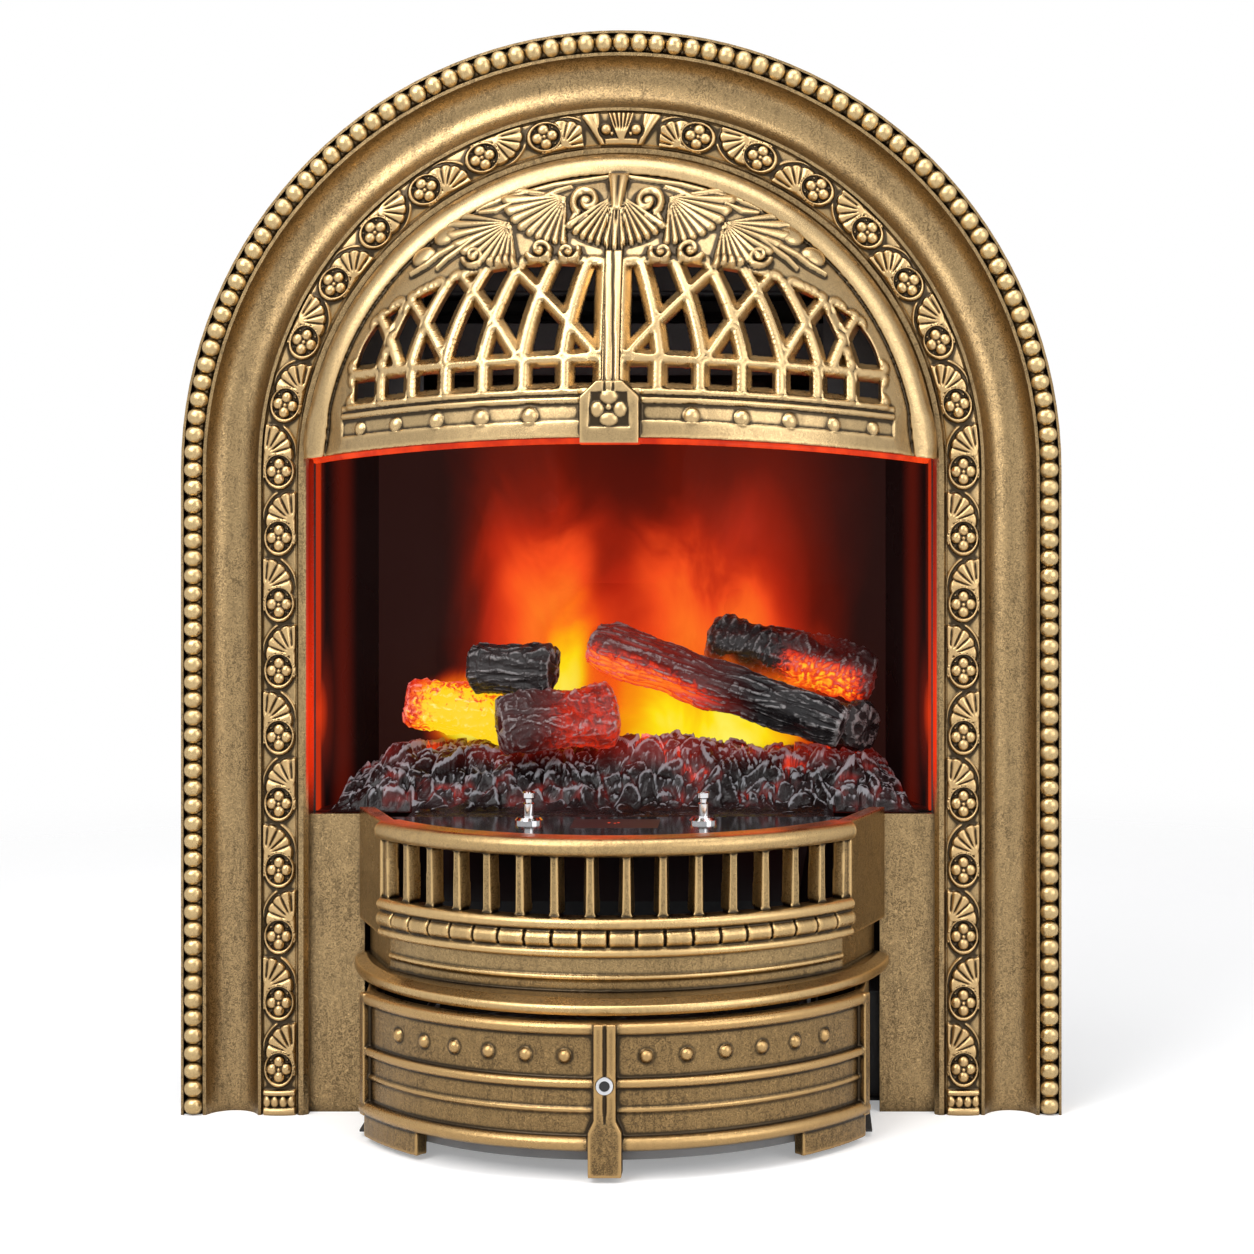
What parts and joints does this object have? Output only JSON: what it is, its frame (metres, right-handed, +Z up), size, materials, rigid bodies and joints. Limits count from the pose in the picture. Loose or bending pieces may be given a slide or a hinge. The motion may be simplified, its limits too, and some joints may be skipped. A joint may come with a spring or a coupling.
{
  "type": "water vapour fireplace insert",
  "caption": "Arched antique-brass fireplace insert with a pierced hood, bowed grate and drawer; lit water vapour makes flames over a bed of embers and logs.",
  "frame": {"origin": "on the hearth, under the middle of the insert, midway between its front and back", "axes": "+X to the right seen from the front, +Y to the back, +Z up"},
  "size_m": [0.5, 0.2736, 0.616],
  "materials": {
    "frame_brass": "antique brass, dark in the hollows",
    "hood_brass": "antique brass, lightly rubbed",
    "grate_brass": "antique brass, rubbed on the edges",
    "black_steel": "matt black powder coat",
    "firebox_black": "gloss black enamel",
    "zinc_steel": "bright zinc plate",
    "lid_black": "gloss black",
    "display_black": "dark smoked window",
    "chrome": "polished",
    "white_plastic": "white ring",
    "char": "charred lump coal with ash on the edges",
    "charred_wood": "charred bark with glowing cracks",
    "tub_plastic": "milky white",
    "dark_plastic": "matt black",
    "disc_steel": "stainless discs",
    "float_plastic": "orange",
    "foot_rubber": "black",
    "light_aluminium": "plain",
    "amber_lens": "amber diffuser",
    "bearing_bronze": "sintered bronze",
    "board_green": "green circuit board",
    "switch_red": "red rocker"
  },
  "bodies": {
    "insert": {"front_frame": "frame_brass", "left_lower_panel": "frame_brass", "right_lower_panel": "frame_brass", "hood": "hood_brass", "front_grate": "grate_brass", "front_plate": "black_steel", "casing_left": "black_steel", "casing_right": "black_steel", "casing_top": "black_steel", "casing_back": "black_steel", "casing_base": "black_steel", "left_runner": "black_steel", "right_runner": "black_steel", "heater_housing": "black_steel", "heater_motor": "black_steel", "firebox_floor": "firebox_black", "firebox_roof": "firebox_black", "firebox_left": "firebox_black", "firebox_right": "firebox_black", "firebox_back": "firebox_black", "frame_screws": "zinc_steel", "ember_bed": "char", "left_glowing_log": "charred_wood", "centre_log": "charred_wood", "right_end_log": "charred_wood", "left_back_log": "charred_wood", "long_log": "charred_wood", "right_log": "charred_wood", "dock_socket": "dark_plastic", "mist_duct": "dark_plastic", "mist_fan_frame": "dark_plastic", "control_box": "dark_plastic", "control_box_lid": "dark_plastic", "mains_inlet": "dark_plastic", "switch_body": "dark_plastic", "base_feet": "foot_rubber", "light_bars": "light_aluminium", "heater_element": "light_aluminium", "light_lenses": "amber_lens", "heater_bearing": "bearing_bronze", "control_board": "board_green"},
    "drawer": {"drawer_front": "grate_brass", "receiver_bezel": "white_plastic", "receiver_window": "display_black", "drawer_tray": "zinc_steel", "left_slide_bar": "zinc_steel", "right_slide_bar": "zinc_steel", "water_tub": "tub_plastic", "fogger_base": "dark_plastic", "fogger_discs": "disc_steel", "float_stem": "dark_plastic", "dock_plug": "dark_plastic"},
    "float": {"water_float": "float_plastic"},
    "lid": {"access_lid": "lid_black", "display_panel": "display_black", "lift_knobs": "chrome"},
    "mist_rotor": {"mist_fan_rotor": "dark_plastic"},
    "heater_fan": {"heater_rotor": "light_aluminium"},
    "rocker": {"switch_rocker": "switch_red"}
  },
  "joints": [
    {"name": "drawer_slide", "type": "slide", "parent": "insert", "child": "drawer", "axis": [0, -1, 0], "range_m": [0, 0.12]},
    {"name": "float_rise", "type": "slide", "parent": "drawer", "child": "float", "axis": [0, 0, 1], "range_m": [0, 0.0135]},
    {"name": "lid_lift", "type": "slide", "parent": "insert", "child": "lid", "axis": [0, 0, 1], "range_m": [0, 0.1]},
    {"name": "mist_fan_spin", "type": "hinge", "parent": "insert", "child": "mist_rotor", "pos_m": [0, 0.0975, 0.0932], "axis": [0, 1, 0], "continuous": true},
    {"name": "heater_fan_spin", "type": "hinge", "parent": "insert", "child": "heater_fan", "pos_m": [0, 0.086, 0.4362], "axis": [1, 0, 0], "continuous": true},
    {"name": "rocker_tip", "type": "hinge", "parent": "insert", "child": "rocker", "pos_m": [0.1, 0.1326, 0.04], "axis": [1, 0, 0], "range_deg": [0, 16]}
  ]
}
